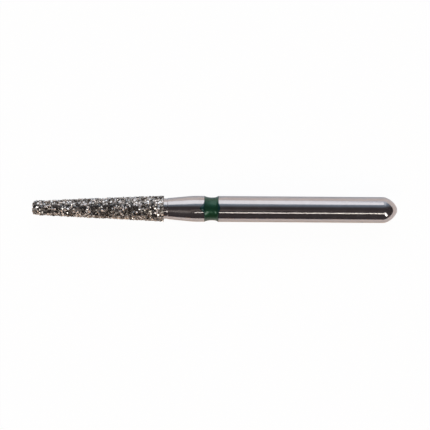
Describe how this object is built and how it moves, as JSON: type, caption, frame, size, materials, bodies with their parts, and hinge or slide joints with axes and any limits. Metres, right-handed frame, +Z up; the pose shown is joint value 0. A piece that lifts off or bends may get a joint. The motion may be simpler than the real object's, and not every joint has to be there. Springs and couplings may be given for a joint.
{
  "type": "dental bur",
  "caption": "Friction-grip dental bur: straight steel shank, coloured grit ring, short neck and a tapered flat-ended head coated with coarse diamond.",
  "frame": {"origin": "on the bur's axis, in the middle of the length that a handpiece grips", "axes": "+X along the axis towards the shank's end, -X towards the diamond tip; +Z up; the bur is round about X"},
  "size_m": [0.0225, 0.0016, 0.0016],
  "materials": {
    "steel": "ground and polished stainless steel",
    "nickel": "matt electroplated nickel",
    "diamond": "broken diamond crystals set in nickel",
    "lacquer": "glossy green lacquer"
  },
  "bodies": {
    "root": {"steel_blank": "steel", "nickel_bond": "nickel", "diamond_grit": "diamond", "colour_band": "lacquer"}
  },
  "joints": []
}
